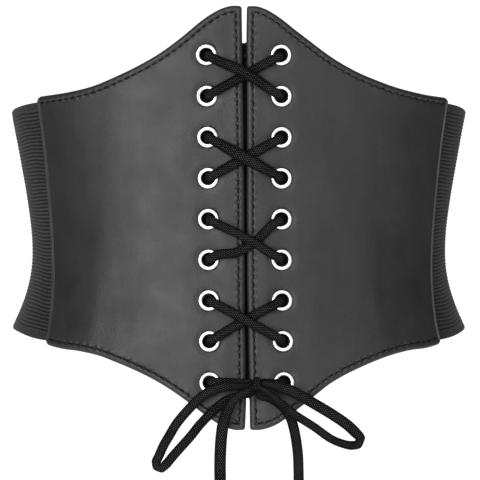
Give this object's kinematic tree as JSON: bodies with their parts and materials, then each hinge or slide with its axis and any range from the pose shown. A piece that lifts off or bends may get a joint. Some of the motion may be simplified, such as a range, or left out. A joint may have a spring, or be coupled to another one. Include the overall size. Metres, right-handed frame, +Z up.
{
  "type": "corset belt",
  "caption": "Laced waist belt with two tall smooth front panels, a row of metal eyelets down each, a lace tied in a bow and an elastic back.",
  "frame": {"origin": "the middle of the narrowest waist section, where the body passes through", "axes": "+Z up the body, -Y to the laced front, +X to the right as seen from the front"},
  "size_m": [0.2396, 0.1842, 0.2476],
  "materials": {
    "leather": "black satin faux leather with a very fine grain",
    "elastic": "black ribbed elastic webbing",
    "webbing": "matt black tape",
    "nickel": "bright nickel plate",
    "braid": "black flat braided cord",
    "tip": "plain black plastic"
  },
  "bodies": {
    "root": {"left_panel": "leather", "right_panel": "leather", "elastic_band": "elastic", "gap_strip": "webbing", "left_eyelet_1": "nickel", "left_eyelet_2": "nickel", "left_eyelet_3": "nickel", "left_eyelet_4": "nickel", "left_eyelet_5": "nickel", "left_eyelet_6": "nickel", "left_eyelet_7": "nickel", "left_eyelet_8": "nickel", "left_eyelet_9": "nickel", "right_eyelet_1": "nickel", "right_eyelet_2": "nickel", "right_eyelet_3": "nickel", "right_eyelet_4": "nickel", "right_eyelet_5": "nickel", "right_eyelet_6": "nickel", "right_eyelet_7": "nickel", "right_eyelet_8": "nickel", "right_eyelet_9": "nickel", "lacing": "braid", "knot": "braid", "left_loop": "braid", "right_loop": "braid", "left_tail": "braid", "right_tail": "braid", "left_tip": "tip", "right_tip": "tip"}
  },
  "joints": []
}
